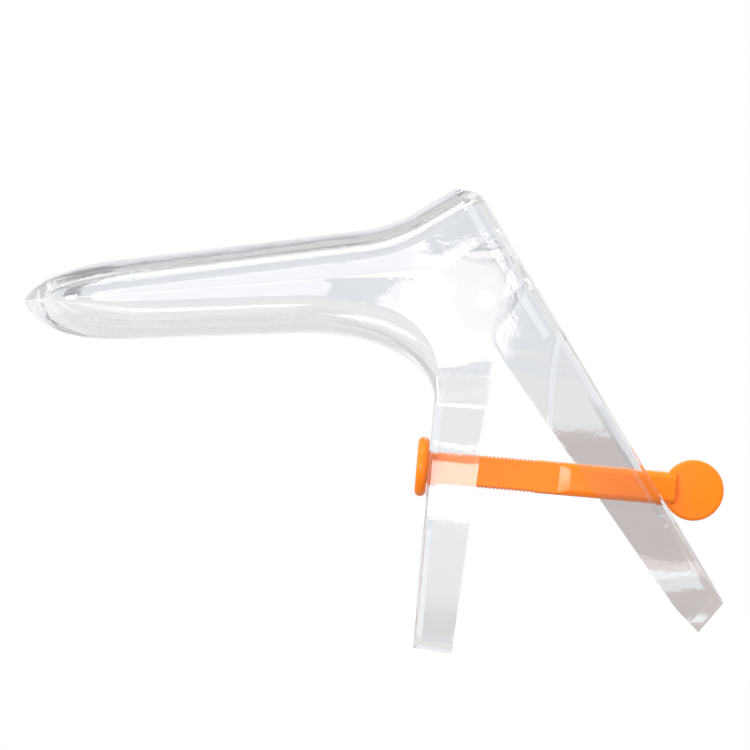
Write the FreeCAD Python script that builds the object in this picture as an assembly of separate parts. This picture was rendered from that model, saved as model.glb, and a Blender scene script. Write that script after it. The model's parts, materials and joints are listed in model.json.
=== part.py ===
import FreeCAD, Part
import math
import os

# Bivalve speculum: two clear mouldings hinged on pegs, and a quarter-turn lock rod.
# Millimetres. +Z up, blades point to -X, the handles hang below. Y is the width.
# Side outlines are written as (u, v): distances from the hinge axis along X and Z.

# Place of the hinge axis: the origin is on the floor, at the middle of the length
hinge_x = 29.0
hinge_z = 91.9

# Blades
blade_length = 121.0        # tip to hinge axis
blade_half = 12.8           # half width just behind the rounded tip
blade_gain = 0.027          # growth of the half width per mm of blade
cheek_half = 15.5           # half width of the upper leaf at the hinge and the mouth
blade_wall = 2.2
plan_nose = 25.0            # length of the rounded tip, seen from above
nose_solid = 6.0            # solid plastic at the tip, before the hollow starts
tip_flat = 0.25             # blunt end of the tip
tip_drop = 0.26             # tip below the hinge axis
split_slope = 0.075         # rise of the parting line per mm of blade
split_gap = 0.3

# Upper blade: the roof and its flare to the mouth
roof_height = 7.9
roof_gain = 0.0455
roof_nose = 28.0
roof_corner = 6.0
roof_crown = 1.8
flare_lead = 33.0           # start of the flare, ahead of the hinge axis
flare_radius = 39.0

# Lower blade: the floor and its neck into the front handle
floor_depth = 11.0
floor_gain = 0.04
floor_nose = 31.0
floor_corner = 8.0
floor_crown = 2.0
neck_reach = 33.8           # half axes of the elliptic neck
neck_drop = 17.7
neck_lead = 3.0             # straight run before the neck starts to turn
nose_power = 1.6            # fullness of the tip, seen from the side

# Hinge
peg_radius = 2.4
peg_play = 0.05
ear_play = 0.25
cheek_lobe = 8.4            # radius of the cheek round the peg
cheek_front_u = -13.3       # where the cheek's front edge meets its blade
cheek_front_v = 8.8
ear_top_u = 1.8             # corner at the top of the ear, then its round back edge
ear_top_v = 16.7
ear_round_u = 5.3
ear_round_v = 12.8
ear_back_u = 6.3
ear_back_v = 8.0
ear_rise_u = -20.0          # front edge of the ear, up from the parting line
ear_rise_v = 6.0
ear_front_u = -12.4
ear_front_v = 7.0
notch_u = 4.5               # notch below the ear's back edge, and the stop lug
notch_v = -0.5
lug_u = 9.9
lug_v = 4.4
lug_low_u = 9.8
lug_low_v = 0.9
heel_u = 3.5
heel_v = -7.2
parting_end = 39.0          # end of the straight parting line, ahead of the hinge axis

# Front handle, part of the lower leaf
front_line = 11.0           # front face ahead of the hinge axis, carried up to its height
front_lean = 5.0            # degrees from the vertical
front_length = 91.0         # below the hinge axis
front_half_end = 14.7
front_depth = 14.6          # rear edge behind the front face, at the top
front_depth_end = 10.3
front_top = 13.5            # top of the rear edge, below the hinge axis
front_toe = 9.0             # the foot's slope starts this far ahead of the front face
front_toe_rise = 2.0
front_heel_drop = 0.9
handle_wall = 2.2
handle_edge = 0.8           # eased outer edges of both handles
handle_crown = 0.1
inner_edge = 0.3
end_wall = 2.6

# Rear handle, part of the upper leaf
plate_angle = 59.2          # degrees below the horizontal
plate_line = 13.1           # outer face behind the hinge axis
plate_length = 99.4         # along the plate from the hinge axis
rear_half_end = 10.5
rear_depth_end = 10.4       # depth of the closed end
rear_edge_gap = 5.1         # front edge ahead of the hinge axis, at the top
rear_edge_angle = 55.2      # degrees below the horizontal
rear_edge_stop = 4.6        # the front edge ends this far before the plate does
rear_end_angle = 50.0
sill = 16.6                 # lower end of the mouth, along the plate
mouth_bevel = 5.0
web_wall = 1.8
web_bulge = 9.0             # the web's middle, inwards and down from the sill
web_foot = 20.0             # the web's lower end, down from the sill
web_pinch = 0.6
opening_angle = 36.0        # travel of the upper leaf

# Rim of the mouth: a bead on the inner side of the roof and the cheeks
rim_outer = 0.7             # depths below the plane of the mouth
rim_crest = 1.7
rim_shoulder = 3.4
rim_depth = 5.4
rim_lip = 0.8

# Lock rod
rod_radius = 4.35
rod_u = 21.8
rod_v = -47.1
shank_half = 2.2            # half thickness of the threaded length
grip_half = 3.2             # half thickness of the plain length
thread_end = 34.4           # from the front face of the front handle
ramp_end = 37.3
grip_end = 65.0
head_radius = 7.8
head_wall = 3.0
head_edge = 1.2
head_gap = 0.2
head_sink = 0.5             # the shank reaches this far into the head
paddle_radius = 8.0
paddle_wall = 3.0
paddle_edge = 0.9
paddle_gap = 0.3
slot_play = 0.15
slot_room = 1.8             # spare length at each end of the rear slot
front_slot_room = 4.2       # front slot longer than the paddle is wide
front_slot_rise = 0.3
slot_pad = 1.0
slot_pad_border = 3.0
slot_pad_sink = 0.5
peg_root = 1.0              # the pegs start this far inside the cheeks
peg_inset = 0.2             # and end this far below the ears' outer faces

ear_half = cheek_half + ear_play + blade_wall
tall = 50.0                 # height of the side walls before they are trimmed
beyond = 60.0               # length that reaches past the object
past = 9.0                  # trimming outlines reach this far past the form
edge_bow = 1.0 - math.sqrt(0.5)     # middle of an eased edge, as a share of its size


def place(u, v, y=0.0):
    """Point of the object from its distances to the hinge axis."""
    return FreeCAD.Vector(hinge_x + u, y, hinge_z + v)


def direction(degrees):
    """Unit vector (u, v) at an angle above +X."""
    angle = math.radians(degrees)
    return math.cos(angle), math.sin(angle)


def swell(x, power):
    """Rounding of the tip: 0 at x = 0, and 1 from x = 1 on."""
    if x >= 1.0:
        return 1.0
    return (1.0 - (1.0 - x) ** 3) ** (1.0 / power)


def smooth(x):
    """Soft step from 0 to 1."""
    x = min(max(x, 0.0), 1.0)
    return x * x * (3.0 - 2.0 * x)


def split(u):
    """Height of the parting line between the blades."""
    return split_slope * (blade_length + u) - tip_drop


def channel_wire(u, v, grow, half, corner, crown):
    """Closed section of a rounded channel: crowned floor, two corners and tall side walls."""
    du, dv = direction(grow)
    knee = corner + crown
    bow = ((half - corner) ** 2 + knee ** 2 - corner ** 2) / (2.0 * crown)
    share = bow / (bow - corner)
    turn_y = (half - corner) * share
    turn_g = bow + (knee - bow) * share
    swing = 0.5 * math.atan2(turn_y - (half - corner), knee - turn_g) + math.radians(45.0)
    mid_y = half - corner + corner * math.sin(swing)
    mid_g = knee - corner * math.cos(swing)

    def point(y, g):
        return place(u + g * du, v + g * dv, y)

    top_left = point(-half, tall)
    knee_left = point(-half, knee)
    turn_left = point(-turn_y, turn_g)
    turn_right = point(turn_y, turn_g)
    knee_right = point(half, knee)
    top_right = point(half, tall)
    return Part.Wire([
        Part.LineSegment(top_left, knee_left).toShape(),
        Part.Arc(knee_left, point(-mid_y, mid_g), turn_left).toShape(),
        Part.Arc(turn_left, point(0.0, 0.0), turn_right).toShape(),
        Part.Arc(turn_right, point(mid_y, mid_g), knee_right).toShape(),
        Part.LineSegment(knee_right, top_right).toShape(),
        Part.LineSegment(top_right, top_left).toShape()])


def trough_wire(u, v, grow, half, edge):
    """Closed section of a straight-walled channel with eased or sharp corners."""
    du, dv = direction(grow)
    right = [(half, 0.0)]
    if edge:
        right = [(half - edge, 0.0), (half - edge_bow * edge, edge_bow * edge), (half, edge)]
    right.append((half, tall))
    left = [(-y, g) for y, g in reversed(right)]
    outline = [place(u + g * du, v + g * dv, y) for y, g in left + right]
    return Part.makePolygon(outline + outline[:1])


def loft(wires):
    """Solid through sections: many give a smooth form, two a straight one."""
    return Part.makeLoft(wires, True, len(wires) == 2)


def channel(runs, troughs=()):
    """Solid through the sections of a channel: rounded runs, and straight-walled ones."""
    solids = [loft([channel_wire(*station) for station in stations]) for stations in runs]
    solids += [loft([trough_wire(*station) for station in stations]) for stations in troughs]
    return solids[0].fuse(solids[1:]) if len(solids) > 1 else solids[0]


def outline_solid(edges):
    """Side outline carried across the whole width."""
    face = Part.Face(Part.Wire(edges))
    across = 2.0 * beyond
    return face.extrude(FreeCAD.Vector(0, across, 0)).translated(FreeCAD.Vector(0, -beyond, 0))


def lines(points):
    """Straight edges through points (u, v)."""
    places = [place(u, v) for u, v in points]
    return [Part.LineSegment(a, b).toShape() for a, b in zip(places, places[1:])]


def arc(start, middle, end):
    """Arc through three points (u, v)."""
    return Part.Arc(place(*start), place(*middle), place(*end)).toShape()


def blade_half_width(reach):
    """Half width of both blades at a distance from the tip."""
    return min(blade_half + blade_gain * reach, cheek_half)


def blade_stations(inset, height, gain, nose, corner, crown, side, last):
    """Sections of a blade: its rounded tip, and its straight run to a distance from the tip."""
    start = nose_solid if inset else 0.0
    shares = [0.04, 0.1, 0.2, 0.34, 0.5, 0.68, 0.86, 1.04, 1.1, 1.16, 1.2]
    steps = [tip_flat] + [share * nose for share in shares]
    stations = []
    for step in steps + [last - start]:
        reach = start + step
        rise = (height + gain * reach - inset) * swell(step / nose, nose_power)
        half = (blade_half_width(reach) - inset) * swell(step / plan_nose, 2.0)
        fit = min(1.0, 0.97 * rise / (corner - inset + crown))
        u = reach - blade_length
        radius = min((corner - inset) * fit, 0.9 * half)
        stations.append((u, split(u) + side * rise, -90.0 * side, half, radius, crown * fit))
    return stations[:-1], stations[-2:]


def front_face(v):
    """Place along X of the front handle's front face."""
    return math.tan(math.radians(front_lean)) * v - front_line


def neck_centre():
    """Centre of the ellipse that touches the blade's floor and the handle's front."""
    slope = split_slope - floor_gain
    lean = math.tan(math.radians(front_lean))
    floor_at_hinge = (split_slope - floor_gain) * blade_length - tip_drop - floor_depth
    drop = math.hypot(neck_drop, neck_reach * slope)
    reach = math.hypot(neck_reach, neck_drop * lean)
    u = (-front_line - reach + lean * (floor_at_hinge - drop)) / (1.0 - lean * slope)
    return u, floor_at_hinge + slope * u - drop


def make_lower_channel(inset):
    """Form of the lower leaf: blade, neck and front handle."""
    centre_u, centre_v = neck_centre()
    slope = math.atan((split_slope - floor_gain) * neck_reach / neck_drop)
    lean = math.atan(math.tan(math.radians(front_lean)) * neck_drop / neck_reach)
    first = -slope
    last = math.radians(90.0) + lean
    start = centre_u + neck_reach * math.sin(first) + blade_length
    tip, blade = blade_stations(inset, floor_depth, floor_gain, floor_nose,
                                floor_corner, floor_crown, -1.0, start - neck_lead)
    turns = 7
    neck = blade[-1:]
    for count in range(turns + 1):
        share = count / turns
        turn = first + (last - first) * share
        normal = math.degrees(math.atan2(math.cos(turn) / neck_drop, math.sin(turn) / neck_reach))
        nu, nv = direction(normal)
        u = centre_u + neck_reach * math.sin(turn) + inset * nu
        v = centre_v + neck_drop * math.cos(turn) + inset * nv
        narrow = blade_half_width(start)
        half = narrow + (ear_half - narrow) * smooth(share / 0.4) - inset
        small = smooth((share - 0.4) / 0.6)
        corner = floor_corner + (handle_edge - floor_corner) * small
        crown = floor_crown + (handle_crown - floor_crown) * small
        neck.append((u, v, normal, half, max(corner - inset, inner_edge), crown))
    nu, nv = direction(-front_lean)
    stop = front_length - end_wall if inset else front_length + end_wall
    v = -stop + inset * nv
    u = front_face(-stop) + inset * nu
    fall = (neck[-1][1] - v) / (neck[-1][1] + front_length)
    half = ear_half + (front_half_end - ear_half) * fall - inset
    edge = 0.0 if inset else handle_edge
    handle = [neck[-1][:4] + (edge,), (u, v, -front_lean, half, edge)]
    return channel([tip, blade, neck], [handle])


def lower_outline():
    """Side outline of the lower leaf above its floor: blade edge, ear and rear edge."""
    gap = split_gap / 2.0
    front_u = -blade_length - past
    ear_top = (ear_top_u, ear_top_v)
    ear_back = (ear_back_u, ear_back_v)
    foot_front = front_face(-front_length)
    under = -front_length + beyond - past
    before = lines([(front_u, split(front_u) - gap),
                    (-parting_end, split(-parting_end) - gap), (ear_rise_u, ear_rise_v),
                    (ear_front_u, ear_front_v), ear_top])
    after = lines([ear_back, (notch_u, notch_v), (lug_u, lug_v), (lug_low_u, lug_low_v),
                   (heel_u, heel_v), (front_face(-front_top) + front_depth, -front_top),
                   (foot_front + front_depth_end, -front_length - front_heel_drop),
                   (foot_front - front_toe, -front_length + front_toe_rise),
                   (foot_front - front_toe, under), (front_u, under),
                   (front_u, split(front_u) - gap)])
    return before + [arc(ear_top, (ear_round_u, ear_round_v), ear_back)] + after


def across_pin(radius, low, high):
    """Round bar along Y on the hinge axis."""
    return Part.makeCylinder(radius, high - low, place(0.0, 0.0, low), FreeCAD.Vector(0, 1, 0))


def make_lower_leaf():
    """Lower blade, neck, ears and front handle, one moulding."""
    shell = make_lower_channel(0.0).cut(make_lower_channel(blade_wall))
    leaf = shell.common(outline_solid(lower_outline()))
    leaf = leaf.cut(across_pin(peg_radius + peg_play, -beyond, beyond))
    return leaf.cut(front_slot())


def rod_point(along, above=0.0):
    """Point (u, v) on the rod, from the front face of the front handle."""
    du, dv = direction(-front_lean)
    lean = math.tan(math.radians(front_lean))
    back = (rod_u + front_line - lean * rod_v) / (du - lean * dv)
    run = along - back
    return rod_u + run * du - above * dv, rod_v + run * dv + above * du


def rod_box(low, high, half, lower, upper):
    """Box along the rod between two distances, with its half width and heights."""
    corners = [(low, lower), (high, lower), (high, upper), (low, upper), (low, lower)]
    face = Part.Face(Part.Wire(lines([rod_point(a, b) for a, b in corners])))
    moved = face.translated(FreeCAD.Vector(0, -half, 0))
    return moved.extrude(FreeCAD.Vector(0, 2.0 * half, 0))


def front_slot():
    """Slot of the front handle: the paddle goes through it when the rod is fitted."""
    top = rod_radius + slot_play + front_slot_rise
    length = 2.0 * paddle_radius + front_slot_room
    return rod_box(-handle_wall, 3.0 * handle_wall, rod_radius + slot_play, top - length, top)


def plate_point(along, deep):
    """Point (u, v) of the rear handle: along its plate, and inwards of its outer face."""
    du, dv = direction(-plate_angle)
    nu, nv = direction(90.0 - plate_angle)
    out = plate_line - deep
    return along * du + out * nu, along * dv + out * nv


def roof_path():
    """Start, centre and slope of the flare of the roof."""
    start = -flare_lead
    height = split(start) + roof_height + roof_gain * (blade_length - flare_lead)
    slope = math.degrees(math.atan(split_slope + roof_gain))
    up = direction(slope + 90.0)
    return (start, height), (start + flare_radius * up[0], height + flare_radius * up[1]), slope


def rim_stations(inset, flare_end):
    """Straight runs of the flare to the mouth: the hollow is pinched by the rim's bead."""
    along = roof_end()
    depths = [(-beyond, 0.0)]
    if inset:
        depths = [(rim_depth, 0.0), (rim_shoulder, rim_lip), (rim_crest, rim_lip),
                  (rim_outer, 0.0), (-beyond, 0.0)]
    stations = [flare_end]
    for depth, lip in depths:
        u, v = plate_point(along + inset + lip, depth)
        stations.append((u, v, -plate_angle, cheek_half - inset - lip,
                         roof_corner - inset - lip, roof_crown))
    return [list(pair) for pair in zip(stations, stations[1:])]


def make_upper_channel(inset):
    """Form of the upper leaf from its tip to past the mouth."""
    reach = blade_length - flare_lead
    tip, blade = blade_stations(inset, roof_height, roof_gain, roof_nose,
                                roof_corner, roof_crown, 1.0, reach - neck_lead)
    flare = blade[-1:]
    start, centre, slope = roof_path()
    end_slope = 90.0 - plate_angle
    radius = flare_radius + inset
    for share in (0.0, 0.25, 0.5, 0.75, 1.0):
        angle = slope + (end_slope - slope) * share
        su, sv = direction(angle - 90.0)
        u = centre[0] + radius * su
        v = centre[1] + radius * sv
        half = blade_half_width(blade_length + u) - inset
        flare.append((u, v, angle - 90.0, half, roof_corner - inset, roof_crown))
    return channel([tip, blade, flare] + rim_stations(inset, flare[-1]))


def make_rear_channel(inset):
    """Form of the rear handle from the sill of the mouth to its end."""
    top = plate_point(sill, inset)
    end = plate_point(plate_length - end_wall if inset else plate_length, inset)
    inward = 180.0 + 90.0 - plate_angle
    edge = 0.0 if inset else handle_edge
    return channel([], [[(top[0], top[1], inward, cheek_half - inset, edge),
                         (end[0], end[1], 180.0 + rear_end_angle, rear_half_end - inset, edge)]])


def cheek_point(degrees):
    """Point on the cheek's round edge."""
    du, dv = direction(degrees)
    return cheek_lobe * du, cheek_lobe * dv


def cheek_outline():
    """Side outline of the upper leaf down to the sill: blade edge, cheek and mouth."""
    gap = split_gap / 2.0
    front_u = -blade_length - past
    roof = roof_point(mouth_bevel)
    before = lines([(front_u, split(front_u) + gap), (-parting_end, split(-parting_end) + gap),
                    (cheek_front_u, cheek_front_v), cheek_point(155.0)])
    round_cheek = arc(cheek_point(155.0), cheek_point(212.0), cheek_point(270.0))
    after = lines([cheek_point(270.0), front_edge(sill), plate_point(sill, 0.0),
                   plate_point(roof_end() + mouth_bevel, 0.0), roof,
                   (roof[0], roof[1] + past), (front_u, roof[1] + past),
                   (front_u, split(front_u) + gap)])
    return before + [round_cheek] + after


def roof_end():
    """Where the roof meets the plane of the mouth: distance along the plate."""
    start, centre, slope = roof_path()
    su, sv = direction(-plate_angle)
    u = centre[0] + flare_radius * su
    v = centre[1] + flare_radius * sv
    return u * su + v * sv


def roof_point(back):
    """Point on the roof, at a distance before the plane of the mouth."""
    return plate_point(roof_end(), back)


def front_edge(along):
    """Front edge of the rear handle's side walls, at a distance along the plate."""
    du, dv = direction(-rear_edge_angle)
    nu, nv = direction(180.0 + 90.0 - rear_edge_angle)
    pu, pv = direction(-plate_angle)
    start = rear_edge_gap * nu, rear_edge_gap * nv
    run = (along - start[0] * pu - start[1] * pv) / (du * pu + dv * pv)
    return start[0] + run * du, start[1] + run * dv


def rear_outline():
    """Side outline of the rear handle below the sill."""
    end_top = plate_point(plate_length, 0.0)
    eu, ev = direction(180.0 + rear_end_angle)
    end_low = end_top[0] + rear_depth_end * eu, end_top[1] + rear_depth_end * ev
    return lines([plate_point(sill, 0.0), end_top, end_low,
                  front_edge(plate_length - rear_edge_stop), front_edge(sill),
                  plate_point(sill, 0.0)])


def rear_slot_span():
    """Ends of the rear slot: what the rod sweeps over the travel of the leaf."""
    ends = []
    for opening in (0.0, opening_angle):
        du, dv = direction(opening - front_lean)
        cu, cv = direction(opening)
        au = rod_u * cu - rod_v * cv
        av = rod_u * cv + rod_v * cu
        pu, pv = direction(-plate_angle)
        nu, nv = direction(90.0 - plate_angle)
        facing = du * nu + dv * nv
        for deep in (0.0, handle_wall):
            run = (plate_line - deep - au * nu - av * nv) / facing
            along = (au + run * du) * pu + (av + run * dv) * pv
            ends += [along - rod_radius / facing, along + rod_radius / facing]
    return min(ends) - slot_room, max(ends) + slot_room


def plate_box(low, high, outside, inside, half):
    """Block on the rear plate between two distances along it and two depths."""
    corners = [plate_point(low, outside), plate_point(high, outside),
               plate_point(high, inside), plate_point(low, inside), plate_point(low, outside)]
    face = Part.Face(Part.Wire(lines(corners)))
    return face.translated(FreeCAD.Vector(0, -half, 0)).extrude(FreeCAD.Vector(0, 2.0 * half, 0))


def make_web():
    """Curved wall that closes the rear handle's channel below the mouth."""
    sunk = handle_wall / 2.0
    outer = [plate_point(sill, sunk), plate_point(sill + web_bulge, web_bulge),
             front_edge(sill + web_foot)]
    inner = [plate_point(sill + web_wall, sunk),
             plate_point(sill + web_bulge + web_wall, web_bulge - web_pinch),
             front_edge(sill + web_foot + web_wall)]
    edges = [arc(*outer)] + lines([outer[2], inner[2]])
    edges += [arc(inner[2], inner[1], inner[0])] + lines([inner[0], outer[0]])
    return outline_solid(edges)


def make_upper_leaf():
    """Upper blade, flared mouth, cheeks with pegs and rear handle, one moulding."""
    shell = make_upper_channel(0.0).cut(make_upper_channel(blade_wall))
    blade = shell.common(outline_solid(cheek_outline()))
    handle_form = make_rear_channel(0.0)
    handle = handle_form.cut(make_rear_channel(blade_wall))
    low, high = rear_slot_span()
    border = slot_pad_border
    pad = plate_box(low - border, high + border, handle_wall - slot_pad_sink,
                    handle_wall + slot_pad, rod_radius + slot_play + border)
    web = make_web().common(handle_form)
    handle = handle.fuse([pad, web]).common(outline_solid(rear_outline()))
    leaf = blade.fuse(handle)
    for side in (-1.0, 1.0):
        ends = sorted([side * (cheek_half - peg_root), side * (ear_half - peg_inset)])
        leaf = leaf.fuse(across_pin(peg_radius, *ends))
    leaf = leaf.cut(plate_box(low, high, -handle_wall, 4.0 * handle_wall,
                              rod_radius + slot_play))
    return leaf.removeSplitter()


def eased_disc(radius, wall, edge, point, base, axis):
    """Round disc with an eased rim, turned from its half section."""
    bow = edge_bow * edge
    rim = [(0.0, radius - edge), (bow, radius - bow), (edge, radius)]
    section = rim + [(wall - across, out) for across, out in reversed(rim)]
    section = [(0.0, 0.0)] + section + [(wall, 0.0), (0.0, 0.0)]
    face = Part.Face(Part.makePolygon([point(across, out) for across, out in section]))
    return face.revolve(base, axis, 360.0)


def make_lock_rod():
    """Rod with a round head, a flat-sided shank and a round flat paddle."""
    du, dv = direction(-front_lean)
    axis = FreeCAD.Vector(du, 0, dv)
    start = -head_gap - head_sink
    core = Part.makeCylinder(rod_radius, grip_end - start, place(*rod_point(start)), axis)
    side = [(start, shank_half), (thread_end, shank_half), (ramp_end, grip_half),
            (grip_end, grip_half)]
    corners = side + [(along, -y) for along, y in reversed(side)]
    floor = 2.0 * rod_radius
    places = [place(*rod_point(along, -floor), y) for along, y in corners + corners[:1]]
    plan = Part.Face(Part.makePolygon(places))
    shank = core.common(plan.extrude(FreeCAD.Vector(-dv, 0, du) * (2.0 * floor)))

    def head_point(across, out):
        return place(*rod_point(-head_gap - head_wall + across, out))

    head = eased_disc(head_radius, head_wall, head_edge, head_point, head_point(0.0, 0.0), axis)
    centre = place(*rod_point(paddle_along()), -paddle_wall / 2.0)

    def paddle_point(across, out):
        return centre + FreeCAD.Vector(out, across, 0)

    paddle = eased_disc(paddle_radius, paddle_wall, paddle_edge, paddle_point, centre,
                        FreeCAD.Vector(0, 1, 0))
    return shank.fuse([head, paddle]).removeSplitter()


def paddle_along():
    """Distance of the paddle's centre along the rod: its rim just clears the rear plate."""
    du, dv = direction(-front_lean)
    nu, nv = direction(90.0 - plate_angle)
    start = rod_point(0.0)
    clear = plate_line + paddle_gap + paddle_radius
    return (clear - start[0] * nu - start[1] * nv) / (du * nu + dv * nv)


def main():
    os.makedirs("parts", exist_ok=True)
    makers = {"upper_leaf": make_upper_leaf, "lower_leaf": make_lower_leaf,
              "lock_rod": make_lock_rod}
    for name, maker in makers.items():
        shape = maker()
        solids = shape.Solids
        print(name, len(solids), "solid", shape.isValid(), round(shape.Volume, 1), shape.BoundBox)
        solids[0].exportStep("parts/" + name + ".step")


main()
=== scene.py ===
import json
import math
import bpy
from bpy.props import FloatProperty, FloatVectorProperty, PointerProperty
from mathutils import Matrix, Vector


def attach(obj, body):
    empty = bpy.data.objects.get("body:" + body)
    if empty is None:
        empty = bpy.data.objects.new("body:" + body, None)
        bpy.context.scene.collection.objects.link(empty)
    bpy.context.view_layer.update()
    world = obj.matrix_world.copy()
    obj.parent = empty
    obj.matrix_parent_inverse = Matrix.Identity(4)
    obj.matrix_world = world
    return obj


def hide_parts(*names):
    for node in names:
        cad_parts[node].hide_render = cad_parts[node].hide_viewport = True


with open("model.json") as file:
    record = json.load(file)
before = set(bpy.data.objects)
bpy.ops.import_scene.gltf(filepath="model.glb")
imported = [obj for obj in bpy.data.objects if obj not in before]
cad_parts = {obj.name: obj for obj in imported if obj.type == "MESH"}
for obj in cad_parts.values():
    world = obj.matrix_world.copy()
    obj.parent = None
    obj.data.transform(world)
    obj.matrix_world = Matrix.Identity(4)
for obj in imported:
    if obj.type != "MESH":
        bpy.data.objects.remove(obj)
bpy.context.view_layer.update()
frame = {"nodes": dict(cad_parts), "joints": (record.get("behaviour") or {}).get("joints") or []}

bl_info = {
    "name": "Bivalve speculum",
    "version": (1, 0, 0),
    "blender": (4, 5, 0),
    "location": "3D View > Sidebar > Speculum",
    "description": "Dresses a clear bivalve speculum and its orange lock rod",
    "category": "Object",
}

HINGE = Vector(frame["joints"][0]["pos_m"])
ROD_AXIS = Vector(frame["joints"][1]["axis"])
MM = 0.001
QUARTER = math.pi / 2.0
SMOOTH_ANGLE = math.radians(35.0)
MERGE_DISTANCE = 0.002 * MM
WHITE = (1.0, 1.0, 1.0, 1.0)

# Where the rod's axis meets the front handle's face, from the hinge
ROD_START = Vector((-14.840, 0.0, -43.894)) * MM

# One turn of the thread: share of the pitch, and share of the crest's height
TOOTH = ((0.0, 0.0), (0.16, 0.0), (0.42, 1.0), (0.62, 1.0), (0.88, 0.0), (1.0, 0.0))
THREAD_STEPS = 40
SPARE_TURNS = 1.5       # wound before and after the thread, then cut off
ROUND_STEPS = 96

# First, second and result sockets of a mix node
MIX_SOCKETS = {"FLOAT": (2, 3, 0), "RGBA": (6, 7, 2)}

# Colours of the studio
MIRRORED_TINT = (1.0, 0.95, 0.94, 1.0)      # cards that the plastic mirrors
# The warm tint of the cards seen through the plastic is a painted reflection of the orange rod
# in the rear handle
BEHIND_ROD_REFLECTION_TINT = (1.0, 0.89, 0.86, 1.0)        # cards that are seen through it
ROOM_TINT = (0.95, 0.97, 1.0, 1.0)
SOFT_TINT = (0.93, 0.96, 1.0, 1.0)
FLOOR_TINT = (0.8, 0.8, 0.8, 1.0)

# The studio's floor and walls, in metres and on the sphere of directions
FLOOR_SIZE = 8.0
FLOOR_CENTRE = (-0.05, 0.03, -0.0004)
FLAGS_ROUND = 8.0       # dark flags in a full circle
FLAG_BLUR = 0.3
FRONT_START = -0.3      # where the room behind the camera starts to darken
FRONT_FULL = -0.85

# Cards of the studio: name, centre and size in metres, whether it stands upright, and whether
# it is seen only through the plastic
CARDS = (
    ("dim_card", (0.23, -0.46, 0.0004), (0.32, 0.84), False, False),
    ("bright_card", (0.02, -0.31, 0.0005), (0.05, 0.14), False, False),
    ("stripe_card", (0.09, -0.155, 0.0006), (0.1, 0.035), False, False),
    ("back_card", (0.085, 0.3, 0.024), (0.07, 0.047), True, True),
    ("low_card", (0.088, 0.12, 0.0002), (0.05, 0.2), False, True),
    ("front_card", (-0.1, -0.5, 0.089), (0.18, 0.046), True, False),
    ("ear_card", (0.016, -0.5, 0.089), (0.052, 0.046), True, False),
)

# Lamps of the studio: name, place and size in metres, power in watts
LAMPS = (
    ("strip_softbox", (-0.56, -0.82, 0.05), (0.16, 0.4), 6.5),
    ("top_softbox", (-0.4, -0.35, 1.2), (0.9, 0.7), 8.6),
    ("back_softbox", (0.5, 1.2, 0.9), (1.0, 0.6), 4.0),
)


# Sizes and colours that a user would change

LENGTH = {"subtype": "DISTANCE", "unit": "LENGTH"}
ANGLE = {"subtype": "ANGLE", "unit": "ROTATION"}


class PlasticSettings(bpy.types.PropertyGroup):
    clear_colour: FloatVectorProperty(
        name="Clear tint", description="Colour of light that passes the clear plastic",
        default=(0.93, 0.935, 0.94), size=3, subtype="COLOR", min=0.0, max=1.0)
    clear_index: FloatProperty(
        name="Refraction", description="Index of refraction of the clear plastic",
        default=1.57, min=1.3, max=1.8)
    clear_roughness: FloatProperty(
        name="Clear roughness", description="Roughness of the polished clear faces",
        default=0.025, min=0.0, max=1.0)
    clear_ripple: FloatProperty(
        name="Clear ripple", description="Strength of the flow ripples of the moulding",
        default=0.2, min=0.0, max=1.0)
    # Painted glow: light that a path in the plastic ends in once it has mirrored too often, in
    # place of black
    clear_painted_glow: FloatProperty(
        name="Deep light", description="Light that the longest paths in the plastic end in",
        default=0.7, min=0.0, max=1.0)
    clear_mirrors: FloatProperty(
        name="Longest path", description="Mirrorings in the plastic before a path ends",
        default=3.5, min=0.5, max=12.0)
    clear_shade: FloatProperty(
        name="Clear shade",
        description="Light that one clear wall lets on to what is behind it",
        default=0.9, min=0.0, max=1.0)
    orange_colour: FloatVectorProperty(
        name="Orange", description="Colour of the lock rod",
        default=(1.0, 0.218, 0.001), size=3, subtype="COLOR", min=0.0, max=1.0)
    orange_roughness: FloatProperty(
        name="Orange roughness", description="Roughness of the lock rod",
        default=0.22, min=0.0, max=1.0)
    orange_index: FloatProperty(
        name="Orange gloss", description="Index of refraction of the orange plastic",
        default=1.4, min=1.0, max=1.8)


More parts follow.
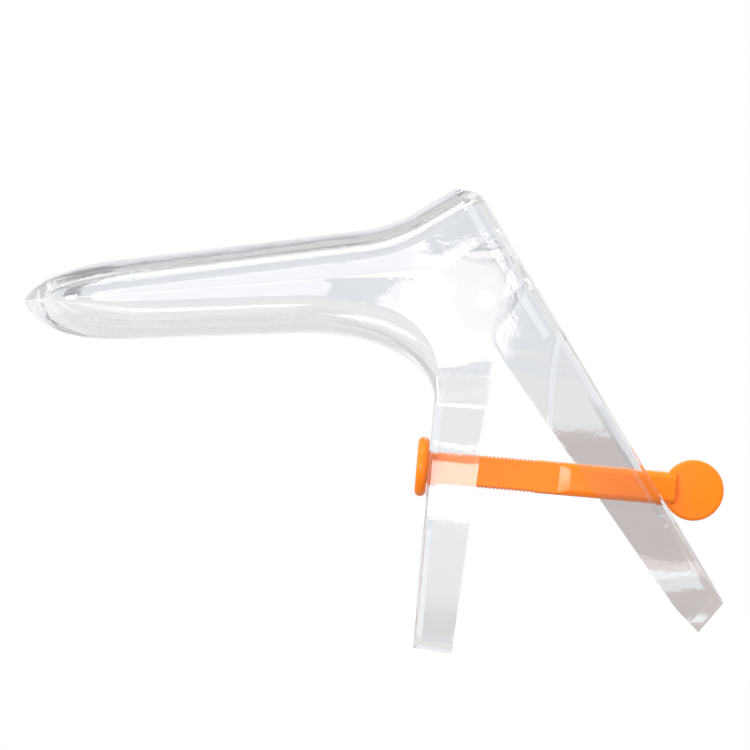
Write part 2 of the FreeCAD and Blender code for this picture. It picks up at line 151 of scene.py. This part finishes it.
class RodSettings(bpy.types.PropertyGroup):
    radius: FloatProperty(
        name="Rod radius", description="Radius over the thread's crests",
        default=4.35 * MM, **LENGTH)
    pitch: FloatProperty(
        name="Thread pitch", description="Distance from one crest to the next",
        default=1.0 * MM, **LENGTH)
    thread_depth: FloatProperty(
        name="Thread depth", description="Height of a crest over the root",
        default=0.3 * MM, **LENGTH)
    thread_start: FloatProperty(
        name="Thread start", description="Distance from the front handle's face",
        default=3.0 * MM, **LENGTH)
    thread_end: FloatProperty(
        name="Thread end", description="Distance from the front handle's face",
        default=28.3 * MM, **LENGTH)
    thin_half: FloatProperty(
        name="Threaded half width", description="Half width across the flats of the thread",
        default=2.2 * MM, **LENGTH)
    thick_half: FloatProperty(
        name="Plain half width", description="Half width across the flats of the plain end",
        default=3.2 * MM, **LENGTH)
    ramp_start: FloatProperty(
        name="Ramp start", description="Where the rod starts to thicken",
        default=34.4 * MM, **LENGTH)
    ramp_end: FloatProperty(
        name="Ramp end", description="Where the rod has its full width",
        default=37.3 * MM, **LENGTH)
    plain_end: FloatProperty(
        name="Plain end", description="Where the plain length ends in the paddle",
        default=65.0 * MM, **LENGTH)
    plain_edge: FloatProperty(
        name="Plain edge", description="Rounding of the plain length's edges",
        default=0.3 * MM, **LENGTH)
    lap: FloatProperty(
        name="Lap", description="How far one length of the rod reaches into the next",
        default=0.2 * MM, **LENGTH)
    root_lap: FloatProperty(
        name="Root lap", description="How far the rod reaches into its head and ramp",
        default=0.3 * MM, **LENGTH)
    head_radius: FloatProperty(
        name="Head radius", description="Radius of the head before the front handle",
        default=7.8 * MM, **LENGTH)
    head_wall: FloatProperty(
        name="Head thickness", description="Thickness of the head", default=3.0 * MM, **LENGTH)
    head_edge: FloatProperty(
        name="Head edge", description="Rounding of the head's rim", default=1.3 * MM, **LENGTH)
    head_gap: FloatProperty(
        name="Head gap", description="Room between the head and the front handle",
        default=0.2 * MM, **LENGTH)
    paddle_along: FloatProperty(
        name="Paddle place", description="Distance of the paddle's centre along the rod",
        default=69.81 * MM, **LENGTH)
    paddle_radius: FloatProperty(
        name="Paddle radius", description="Radius of the round paddle",
        default=8.0 * MM, **LENGTH)
    paddle_wall: FloatProperty(
        name="Paddle thickness", description="Thickness of the paddle",
        default=3.0 * MM, **LENGTH)
    paddle_edge: FloatProperty(
        name="Paddle edge", description="Rounding of the paddle's rim",
        default=0.9 * MM, **LENGTH)


class StageSettings(bpy.types.PropertyGroup):
    azimuth: FloatProperty(
        name="Azimuth", description="Camera's angle round the object",
        default=math.radians(1.0), **ANGLE)
    elevation: FloatProperty(
        name="Elevation", description="Camera's angle over the horizon",
        default=math.radians(1.0), **ANGLE)
    distance: FloatProperty(
        name="Distance", description="From the camera to the point that it looks at",
        default=1.1, **LENGTH)
    field: FloatProperty(
        name="Field width", description="Width of the view at the object",
        default=0.19725, **LENGTH)
    target: FloatVectorProperty(
        name="Target", description="Point that the camera looks at", size=3,
        subtype="XYZ", unit="LENGTH", default=(0.00007, 0.0, 0.0722))
    room_level: FloatProperty(
        name="Room level", description="Light that the studio's walls give",
        default=1.45, min=0.0, max=2.0)
    ceiling_start: FloatProperty(
        name="Ceiling start",
        description="Height on the sphere where the ceiling starts to dim",
        default=0.25, min=-1.0, max=1.0)
    ceiling_full: FloatProperty(
        name="Ceiling full", description="Height on the sphere where the ceiling is dim",
        default=0.7, min=-1.0, max=1.0)
    flag_edge: FloatProperty(
        name="Flag edge", description="Where a dark flag starts on its eighth of the circle",
        default=-0.65, min=-1.0, max=1.0)
    flag_tone: FloatProperty(
        name="Flag tone", description="Brightness of the flags and the ceiling",
        default=0.4, min=0.0, max=1.0)
    front_tone: FloatProperty(
        name="Front tone", description="What gloss shows of the room behind the camera",
        default=0.25, min=0.0, max=1.0)
    floor_glow: FloatProperty(
        name="Floor glow", description="White that the floor shows over its own shade",
        default=0.08, min=0.0, max=1.0)
    floor_near: FloatProperty(
        name="Floor near", description="The floor keeps its shade as far as this",
        default=80.0 * MM, **LENGTH)
    floor_far: FloatProperty(
        name="Floor far", description="The floor is plain white from here",
        default=200.0 * MM, **LENGTH)
    # Painted shade: flat grey that gloss shows of the floor under the object
    floor_gloss_painted_shade: FloatProperty(
        name="Mirrored floor", description="What gloss shows of the floor under the object",
        default=0.4, min=0.0, max=1.0)
    floor_bounce: FloatProperty(
        name="Floor bounce", description="Share of the light that the floor throws back",
        default=0.35, min=0.0, max=1.0)
    # Painted shade: lighter flat grey that the clear plastic shows of the floor under the object
    floor_through_painted_shade: FloatProperty(
        name="Floor through plastic", description="What clear plastic shows of that floor",
        default=0.86, min=0.0, max=1.0)
    dim_card: FloatProperty(
        name="Dim card", description="Brightness of the card that the rear handle mirrors",
        default=0.02, min=0.0, max=1.0)
    bright_card: FloatProperty(
        name="Bright card", description="Brightness of the card that the front handle mirrors",
        default=11.0, min=0.0, max=50.0)
    stripe_card: FloatProperty(
        name="Stripe card", description="Brightness of the stripe that the rear handle mirrors",
        default=3.5, min=0.0, max=50.0)
    back_card: FloatProperty(
        name="Back card", description="Brightness of the card behind the rear handle",
        default=0.7, min=0.0, max=1.0)
    low_card: FloatProperty(
        name="Low card", description="Brightness of the card on the floor behind its end",
        default=0.7, min=0.0, max=1.0)
    front_card: FloatProperty(
        name="Front card", description="Brightness of the card that the blades mirror",
        default=4.6, min=0.0, max=50.0)
    ear_card: FloatProperty(
        name="Ear card", description="Brightness of the card that the ears mirror",
        default=8.6, min=0.0, max=50.0)
    lamp_level: FloatProperty(
        name="Lamp level", description="Share of the lamps' full power",
        default=1.0, min=0.0, max=10.0)


class SpeculumSettings(bpy.types.PropertyGroup):
    plastic: PointerProperty(type=PlasticSettings)
    rod: PointerProperty(type=RodSettings)
    stage: PointerProperty(type=StageSettings)


# Small helpers

def settings():
    return bpy.context.scene.speculum


def deselect():
    if bpy.context.object and bpy.context.object.mode != "OBJECT":
        bpy.ops.object.mode_set(mode="OBJECT")
    bpy.ops.object.select_all(action="DESELECT")


def choose(obj):
    deselect()
    obj.select_set(True)
    bpy.context.view_layer.objects.active = obj


def named(name):
    obj = bpy.context.object
    obj.name = name
    obj.data.name = name
    return obj


def select_mesh(obj):
    """Goes to edit mode with all of the mesh selected."""
    choose(obj)
    bpy.ops.object.mode_set(mode="EDIT")
    bpy.ops.mesh.select_mode(type="FACE")
    bpy.ops.mesh.select_all(action="SELECT")


def leave_edit():
    bpy.ops.object.mode_set(mode="OBJECT")


def apply_place(obj):
    choose(obj)
    bpy.ops.object.transform_apply(location=True, rotation=True, scale=True)


def slice_off(obj, point, normal):
    """Cuts the mesh at a plane, drops the side that the normal points to and closes the cut."""
    select_mesh(obj)
    bpy.ops.mesh.bisect(plane_co=point, plane_no=Vector(normal).normalized(), use_fill=True,
                        clear_outer=True)
    leave_edit()


def merge_mesh(obj):
    """Merges doubles and points all faces outwards."""
    select_mesh(obj)
    bpy.ops.mesh.remove_doubles(threshold=MERGE_DISTANCE)
    bpy.ops.mesh.normals_make_consistent(inside=False)
    leave_edit()


def add_modifier(obj, kind, **values):
    modifier = obj.modifiers.new(kind.title(), kind)
    for key, value in values.items():
        setattr(modifier, key, value)
    choose(obj)
    bpy.ops.object.modifier_apply(modifier=modifier.name)


def round_edges(obj, width, segments, degrees):
    add_modifier(obj, "BEVEL", width=width, segments=segments, limit_method="ANGLE",
                 angle_limit=math.radians(degrees))


# Nodes of the materials

def new_material(name):
    material = bpy.data.materials.new(name)
    material.use_nodes = True
    tree = material.node_tree
    return material, tree, tree.nodes["Principled BSDF"]


def finish_material(tree, surface):
    tree.links.new(surface, tree.nodes["Material Output"].inputs["Surface"])


def feed(tree, socket, source):
    """Joins a node's input to another node's output, or sets its value."""
    if isinstance(source, bpy.types.NodeSocket):
        tree.links.new(source, socket)
    else:
        socket.default_value = source


def calculate(tree, operation, *sources):
    node = tree.nodes.new("ShaderNodeMath")
    node.operation = operation
    for socket, source in zip(node.inputs, sources):
        feed(tree, socket, source)
    return node.outputs[0]


def map_range(tree, source, start, end, low=0.0, high=1.0, kind="SMOOTHSTEP"):
    """Goes from one value to another while the source goes from start to end."""
    node = tree.nodes.new("ShaderNodeMapRange")
    node.interpolation_type = kind
    for name, value in (("From Min", start), ("From Max", end), ("To Min", low),
                        ("To Max", high)):
        node.inputs[name].default_value = value
    tree.links.new(source, node.inputs["Value"])
    return node.outputs[0]


def mix_values(tree, kind, amount, first, second):
    """Mixes two numbers or two colours."""
    node = tree.nodes.new("ShaderNodeMix")
    node.data_type = kind
    one, other, result = MIX_SOCKETS[kind]
    feed(tree, node.inputs[0], amount)
    feed(tree, node.inputs[one], first)
    feed(tree, node.inputs[other], second)
    return node.outputs[result]


def mix_shaders(tree, amount, first, second):
    node = tree.nodes.new("ShaderNodeMixShader")
    tree.links.new(amount, node.inputs[0])
    tree.links.new(first, node.inputs[1])
    tree.links.new(second, node.inputs[2])
    return node.outputs[0]


def add_noise(tree, place, scale, detail, distortion=0.0):
    node = tree.nodes.new("ShaderNodeTexNoise")
    node.inputs["Detail"].default_value = detail
    node.inputs["Distortion"].default_value = distortion
    tree.links.new(place, node.inputs["Vector"])
    tree.links.new(scale, node.inputs["Scale"])
    return node.outputs["Fac"]


def emission(tree, strength):
    node = tree.nodes.new("ShaderNodeEmission")
    feed(tree, node.inputs["Strength"], strength)
    return node.outputs[0]


def background(tree, tint, strength=1.0):
    node = tree.nodes.new("ShaderNodeBackground")
    node.inputs["Color"].default_value = tint
    feed(tree, node.inputs["Strength"], strength)
    return node.outputs[0]


def moulding_group():
    """Slow flow ripples, fine haze and tool polish of an injection moulding."""
    group = bpy.data.node_groups.new("Moulded plastic", "ShaderNodeTree")
    face = group.interface
    face.new_socket("Place", in_out="INPUT", socket_type="NodeSocketVector")
    for name, value in (("Flow scale", 60.0), ("Grain scale", 1500.0), ("Flow share", 0.8),
                        ("Roughness", 0.05), ("Roughness spread", 0.03)):
        socket = face.new_socket(name, in_out="INPUT", socket_type="NodeSocketFloat")
        socket.default_value = value
    for name in ("Colour", "Flow colour"):
        socket = face.new_socket(name, in_out="INPUT", socket_type="NodeSocketColor")
        socket.default_value = WHITE
    face.new_socket("Colour", in_out="OUTPUT", socket_type="NodeSocketColor")
    face.new_socket("Roughness", in_out="OUTPUT", socket_type="NodeSocketFloat")
    face.new_socket("Height", in_out="OUTPUT", socket_type="NodeSocketFloat")
    source = group.nodes.new("NodeGroupInput").outputs
    result = group.nodes.new("NodeGroupOutput").inputs
    along = group.nodes.new("ShaderNodeVectorMath")
    along.operation = "MULTIPLY"
    along.inputs[1].default_value = (0.35, 1.0, 1.0)    # the ripples run along the blades
    group.links.new(source["Place"], along.inputs[0])
    flow = add_noise(group, along.outputs[0], source["Flow scale"], detail=2.0, distortion=0.6)
    grain = add_noise(group, source["Place"], source["Grain scale"], detail=3.0)
    height = mix_values(group, "FLOAT", source["Flow share"], grain, flow)
    spread = calculate(group, "MULTIPLY_ADD", flow, source["Roughness spread"],
                       source["Roughness"])
    tone = mix_values(group, "RGBA", flow, source["Colour"], source["Flow colour"])
    group.links.new(height, result["Height"])
    group.links.new(spread, result["Roughness"])
    group.links.new(tone, result["Colour"])
    return group


def mould(tree, shader, strength, depth, **values):
    """Feeds the shader's colour, roughness and normal from the moulding group."""
    moulded = tree.nodes.new("ShaderNodeGroup")
    moulded.node_tree = bpy.data.node_groups.get("Moulded plastic") or moulding_group()
    place = tree.nodes.new("ShaderNodeTexCoord")
    tree.links.new(place.outputs["Object"], moulded.inputs["Place"])
    for key, value in values.items():
        moulded.inputs[key.replace("_", " ")].default_value = value
    bump = tree.nodes.new("ShaderNodeBump")
    bump.inputs["Strength"].default_value = strength
    bump.inputs["Distance"].default_value = depth
    tree.links.new(moulded.outputs["Height"], bump.inputs["Height"])
    tree.links.new(bump.outputs["Normal"], shader.inputs["Normal"])
    tree.links.new(moulded.outputs["Colour"], shader.inputs["Base Color"])
    tree.links.new(moulded.outputs["Roughness"], shader.inputs["Roughness"])


def make_clear_plastic():
    """Clear polystyrene. Its shadow is pale, and what lies behind it is lit through it. A path
    that mirrors too often in it ends in a painted glow.
    """
    plastic = settings().plastic
    material, tree, shader = new_material("clear_plastic_dressed")
    mould(tree, shader, strength=plastic.clear_ripple, depth=0.6 * MM, Flow_scale=70.0,
          Grain_scale=900.0, Flow_share=0.94, Roughness=plastic.clear_roughness,
          Roughness_spread=0.03,
          Colour=(*plastic.clear_colour, 1.0),
          Flow_colour=(*(0.985 * part for part in plastic.clear_colour), 1.0))
    shader.inputs["Transmission Weight"].default_value = 1.0
    shader.inputs["IOR"].default_value = plastic.clear_index
    path = tree.nodes.new("ShaderNodeLightPath").outputs
    # Painted glow: after the longest path of mirrorings the plastic shows a flat light, standing
    # in for the room
    late = calculate(tree, "GREATER_THAN", path["Glossy Depth"], plastic.clear_mirrors)
    seen = mix_shaders(tree, late, shader.outputs[0], emission(tree, plastic.clear_painted_glow))
    passing = tree.nodes.new("ShaderNodeBsdfTransparent")
    passing.inputs["Color"].default_value = (*(plastic.clear_shade,) * 3, 1.0)
    lit = calculate(tree, "MAXIMUM", path["Is Shadow Ray"], path["Is Diffuse Ray"])
    finish_material(tree, mix_shaders(tree, lit, seen, passing.outputs[0]))
    return material


def make_orange_plastic():
    plastic = settings().plastic
    material, tree, shader = new_material("orange_plastic_dressed")
    red, green, blue = plastic.orange_colour
    mould(tree, shader, strength=0.12, depth=0.3 * MM, Flow_scale=110.0, Grain_scale=2600.0,
          Flow_share=0.5, Roughness=plastic.orange_roughness, Roughness_spread=0.08,
          Colour=(red, green, blue, 1.0),
          Flow_colour=(0.97 * red, 0.86 * green, 0.8 * blue, 1.0))
    shader.inputs["IOR"].default_value = plastic.orange_index
    return material


def paint(obj, material):
    obj.data.materials.clear()
    obj.data.materials.append(material)


# The lock rod, modelled along +X from the front handle's face and then put in place

def rod_place():
    """Turns and moves a piece from the rod's own axes to its place."""
    turn = Vector((1.0, 0.0, 0.0)).rotation_difference(ROD_AXIS).to_matrix().to_4x4()
    return Matrix.Translation(HINGE + ROD_START) @ turn


def draw_line(name, points):
    """A line of edges through the points, drawn by extruding one vertex."""
    deselect()
    bpy.ops.mesh.primitive_plane_add(size=MM, location=points[0])
    obj = named(name)
    bpy.ops.object.mode_set(mode="EDIT")
    bpy.ops.mesh.select_all(action="SELECT")
    bpy.ops.mesh.merge(type="CENTER")
    for before, after in zip(points, points[1:]):
        bpy.ops.mesh.extrude_region_move(
            TRANSFORM_OT_translate={"value": Vector(after) - Vector(before)})
    leave_edit()
    apply_place(obj)
    return obj


def make_thread(rod):
    """Threaded length: one tooth is wound along the axis, then cut to length and flattened."""
    root = rod.radius - rod.thread_depth
    thread_length = rod.thread_end - rod.thread_start
    first = rod.thread_start - SPARE_TURNS * rod.pitch
    turns = math.ceil(thread_length / rod.pitch + 2.0 * SPARE_TURNS)
    points = [(first + along * rod.pitch, 0.0, root + crest * rod.thread_depth)
              for along, crest in TOOTH]
    obj = draw_line("rod_thread", points)
    add_modifier(obj, "SCREW", axis="X", screw_offset=rod.pitch, iterations=turns,
                 steps=THREAD_STEPS, render_steps=THREAD_STEPS, use_merge_vertices=True,
                 use_normal_calculate=True, use_smooth_shade=False)
    merge_mesh(obj)
    select_mesh(obj)
    bpy.ops.mesh.fill_holes(sides=0)
    leave_edit()
    deselect()
    bpy.ops.mesh.primitive_cube_add(
        size=1.0, location=(rod.thread_start + thread_length / 2.0, 0.0, 0.0),
        scale=(thread_length, 2.0 * rod.thin_half, 4.0 * rod.radius))
    block = named("thread_block")
    add_modifier(obj, "BOOLEAN", operation="INTERSECT", object=block, solver="EXACT")
    bpy.data.objects.remove(block, do_unlink=True)
    merge_mesh(obj)
    return obj


def add_cylinder(name, radius, depth, centre, rotation):
    deselect()
    bpy.ops.mesh.primitive_cylinder_add(vertices=ROUND_STEPS, radius=radius, depth=depth,
                                        location=centre, rotation=rotation)
    obj = named(name)
    apply_place(obj)
    return obj


def make_bar(name, low, high, radius, half):
    """Round bar along X with two flats."""
    obj = add_cylinder(name, radius, high - low, ((low + high) / 2.0, 0.0, 0.0),
                       (0.0, QUARTER, 0.0))
    for side in (1.0, -1.0):
        slice_off(obj, (0.0, side * half, 0.0), (0.0, side, 0.0))
    merge_mesh(obj)
    return obj


def make_plain_length(rod):
    """Thicker plain length, with the ramps that lead up to it."""
    obj = make_bar("rod_plain", rod.ramp_start - rod.root_lap, rod.plain_end, rod.radius,
                   rod.thick_half)
    rise = rod.thick_half - rod.thin_half
    run = rod.ramp_end - rod.ramp_start
    for side in (1.0, -1.0):
        slice_off(obj, (rod.ramp_start, side * rod.thin_half, 0.0), (-rise, side * run, 0.0))
    merge_mesh(obj)
    round_edges(obj, rod.plain_edge, segments=3, degrees=14.0)
    return obj


def make_disc(name, radius, wall, edge, centre_x, rotation):
    """Round disc with a rounded rim."""
    obj = add_cylinder(name, radius, wall, (centre_x, 0.0, 0.0), rotation)
    round_edges(obj, edge, segments=6, degrees=60.0)
    return obj


def make_lock_rod(rod):
    pieces = [
        make_thread(rod),
        make_bar("rod_neck", -rod.head_gap - rod.root_lap, rod.thread_start + rod.lap,
                 rod.radius, rod.thin_half),
        make_bar("rod_middle", rod.thread_end - rod.lap, rod.ramp_start + rod.lap,
                 rod.radius, rod.thin_half),
        make_plain_length(rod),
        make_disc("rod_head", rod.head_radius, rod.head_wall, rod.head_edge,
                  -rod.head_gap - rod.head_wall / 2.0, (0.0, QUARTER, 0.0)),
        make_disc("rod_paddle", rod.paddle_radius, rod.paddle_wall, rod.paddle_edge,
                  rod.paddle_along, (QUARTER, 0.0, 0.0)),
    ]
    deselect()
    for piece in pieces:
        piece.select_set(True)
    bpy.context.view_layer.objects.active = pieces[0]
    bpy.ops.object.join()
    obj = named("lock_rod_dressed")
    obj.data.transform(rod_place())
    choose(obj)
    bpy.ops.object.shade_smooth_by_angle(angle=SMOOTH_ANGLE)
    return obj


class SPECULUM_OT_clear_leaves(bpy.types.Operator):
    """Gives both leaves their clear moulded plastic"""
    bl_idname = "speculum.clear_leaves"
    bl_label = "Clear leaves"

    def execute(self, context):
        clear = make_clear_plastic()
        for node in ("upper_leaf", "lower_leaf"):
            paint(frame["nodes"][node], clear)
        return {"FINISHED"}


class SPECULUM_OT_lock_rod(bpy.types.Operator):
    """Models the threaded lock rod with its head and paddle"""
    bl_idname = "speculum.lock_rod"
    bl_label = "Lock rod"

    def execute(self, context):
        rod = make_lock_rod(settings().rod)
        paint(rod, make_orange_plastic())
        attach(rod, "lock_rod")
        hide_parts("lock_rod")
        return {"FINISHED"}


# The studio

def studio_walls(tree, stage):
    """Brightness of the studio round the object: a white horizon, narrow dark flags that
    stand between the usual viewing directions, and a dim ceiling."""
    around = tree.nodes.new("ShaderNodeTexCoord")
    separate = tree.nodes.new("ShaderNodeSeparateXYZ")
    tree.links.new(around.outputs["Generated"], separate.inputs[0])
    parts = separate.outputs
    ceiling = map_range(tree, parts["Z"], stage.ceiling_start, stage.ceiling_full)
    azimuth = calculate(tree, "ARCTAN2", parts["X"], parts["Y"])
    wave = calculate(tree, "COSINE", calculate(tree, "MULTIPLY", azimuth, FLAGS_ROUND))
    flags = map_range(tree, wave, stage.flag_edge, stage.flag_edge - FLAG_BLUR)
    dark = calculate(tree, "MAXIMUM", ceiling, flags)
    level = map_range(tree, dark, 0.0, 1.0, 1.0, stage.flag_tone, "LINEAR")
    front = map_range(tree, parts["Y"], FRONT_START, FRONT_FULL, 1.0, stage.front_tone)
    path = tree.nodes.new("ShaderNodeLightPath").outputs
    gloss = mix_values(tree, "FLOAT", path["Is Glossy Ray"], 1.0, front)
    return calculate(tree, "MULTIPLY", level, gloss)


def make_world(stage):
    """The room is white for the camera, even for diffuse light, and has walls for the rest."""
    world = bpy.data.worlds.new("studio")
    bpy.context.scene.world = world
    world.use_nodes = True
    tree = world.node_tree
    tree.nodes.remove(tree.nodes["Background"])
    path = tree.nodes.new("ShaderNodeLightPath").outputs
    room = background(tree, ROOM_TINT, studio_walls(tree, stage))
    soft = background(tree, SOFT_TINT, stage.room_level)
    shown = mix_shaders(tree, path["Is Diffuse Ray"], room, soft)
    seen = mix_shaders(tree, path["Is Camera Ray"], shown, background(tree, WHITE))
    tree.links.new(seen, tree.nodes["World Output"].inputs["Surface"])


def make_floor(stage):
    """Pale floor: near the object it keeps the shadow, and further off it is plain white. Near
    the object, gloss and the clear plastic see a painted shade of the floor instead of its lit
    face.
    """
    deselect()
    bpy.ops.mesh.primitive_plane_add(size=FLOOR_SIZE, location=FLOOR_CENTRE)
    floor = named("studio_floor")
    material, tree, shader = new_material("floor_white")
    shader.inputs["Base Color"].default_value = FLOOR_TINT
    shader.inputs["Roughness"].default_value = 0.9
    path = tree.nodes.new("ShaderNodeLightPath").outputs
    near = tree.nodes.new("ShaderNodeAddShader")
    tree.links.new(shader.outputs[0], near.inputs[0])
    tree.links.new(emission(tree, stage.floor_glow), near.inputs[1])
    # Painted shade of the floor near the object, for rays that mirror off or pass through the
    # plastic
    tone = map_range(tree, path["Is Transmission Ray"], 0.0, 1.0, stage.floor_gloss_painted_shade,
                     stage.floor_through_painted_shade, "LINEAR")
    under = mix_shaders(tree, path["Is Camera Ray"], emission(tree, tone), near.outputs[0])
    place = tree.nodes.new("ShaderNodeTexCoord")
    reach = tree.nodes.new("ShaderNodeVectorMath")
    reach.operation = "LENGTH"
    tree.links.new(place.outputs["Object"], reach.inputs[0])
    fade = map_range(tree, reach.outputs["Value"], stage.floor_near, stage.floor_far)
    shown = mix_shaders(tree, fade, under, emission(tree, 1.0))
    bounce = tree.nodes.new("ShaderNodeBsdfDiffuse")
    bounce.inputs["Color"].default_value = (*(stage.floor_bounce,) * 3, 1.0)
    seen = calculate(tree, "MAXIMUM", path["Is Camera Ray"], path["Is Glossy Ray"])
    seen = calculate(tree, "MAXIMUM", seen, path["Is Transmission Ray"])
    finish_material(tree, mix_shaders(tree, seen, bounce.outputs[0], shown))
    paint(floor, material)


def make_card(name, place, size, upright, behind, tone):
    """Card that flat walls of the object mirror, or that is seen only through the plastic."""
    deselect()
    rotation = (-QUARTER, 0.0, 0.0) if upright else (0.0, 0.0, 0.0)
    bpy.ops.mesh.primitive_plane_add(size=1.0, location=place, rotation=rotation)
    card = named(name)
    card.scale = (*size, 1.0)
    apply_place(card)
    material, tree, shader = new_material(name)
    light = tree.nodes.new("ShaderNodeEmission")
    # Cards seen through the plastic carry a painted warm reflection of the orange rod
    light.inputs["Color"].default_value = BEHIND_ROD_REFLECTION_TINT if behind else MIRRORED_TINT
    light.inputs["Strength"].default_value = tone
    tree.nodes.remove(shader)
    finish_material(tree, light.outputs[0])
    paint(card, material)
    card.visible_camera = False
    card.visible_diffuse = False
    card.visible_glossy = not behind
    card.visible_transmission = behind
    card.visible_shadow = False


def add_lamp(name, place, size, power, stage):
    """Soft rectangular lamp that faces the object."""
    deselect()
    bpy.ops.object.light_add(type="AREA", location=place)
    lamp = bpy.context.object
    lamp.name = name
    lamp.data.shape = "RECTANGLE"
    lamp.data.size, lamp.data.size_y = size
    lamp.data.energy = power * stage.lamp_level
    aim = Vector(stage.target) - Vector(place)
    lamp.rotation_euler = aim.to_track_quat("-Z", "Y").to_euler()


def make_camera(stage):
    deselect()
    away = Vector((math.sin(stage.azimuth) * math.cos(stage.elevation),
                   -math.cos(stage.azimuth) * math.cos(stage.elevation),
                   math.sin(stage.elevation)))
    bpy.ops.object.camera_add(location=Vector(stage.target) + away * stage.distance)
    camera = bpy.context.object
    camera.name = "photo_camera"
    camera.rotation_euler = (-away).to_track_quat("-Z", "Y").to_euler()
    camera.data.sensor_fit = "HORIZONTAL"
    camera.data.lens = camera.data.sensor_width * stage.distance / stage.field
    camera.data.clip_start = 0.01
    camera.data.clip_end = 50.0
    bpy.context.scene.camera = camera


class SPECULUM_OT_stage(bpy.types.Operator):
    """Builds the pale floor, the white studio, its cards and lamps, and the camera"""
    bl_idname = "speculum.stage"
    bl_label = "Stage and camera"

    def execute(self, context):
        context.scene.view_settings.view_transform = "Standard"
        stage = settings().stage
        make_world(stage)
        make_floor(stage)
        for name, place, size, upright, behind in CARDS:
            make_card(name, place, size, upright, behind, getattr(stage, name))
        for name, place, size, power in LAMPS:
            add_lamp(name, place, size, power, stage)
        make_camera(stage)
        return {"FINISHED"}


class SPECULUM_PT_panel(bpy.types.Panel):
    bl_label = "Speculum"
    bl_idname = "SPECULUM_PT_panel"
    bl_space_type = "VIEW_3D"
    bl_region_type = "UI"
    bl_category = "Speculum"

    def draw(self, context):
        layout = self.layout
        for operator in OPERATORS:
            layout.operator(operator.bl_idname)
        for part in ("plastic", "rod", "stage"):
            box = layout.box()
            values = getattr(context.scene.speculum, part)
            for key in values.bl_rna.properties.keys():
                if key not in ("rna_type", "name"):
                    box.prop(values, key)


OPERATORS = (SPECULUM_OT_clear_leaves, SPECULUM_OT_lock_rod, SPECULUM_OT_stage)
CLASSES = (PlasticSettings, RodSettings, StageSettings, SpeculumSettings, *OPERATORS,
           SPECULUM_PT_panel)


def register():
    for item in CLASSES:
        bpy.utils.register_class(item)
    bpy.types.Scene.speculum = PointerProperty(type=SpeculumSettings)


def unregister():
    del bpy.types.Scene.speculum
    for item in reversed(CLASSES):
        bpy.utils.unregister_class(item)


def main():
    register()
    bpy.ops.speculum.clear_leaves()
    bpy.ops.speculum.lock_rod()
    bpy.ops.speculum.stage()


if __name__ == "__main__":
    main()
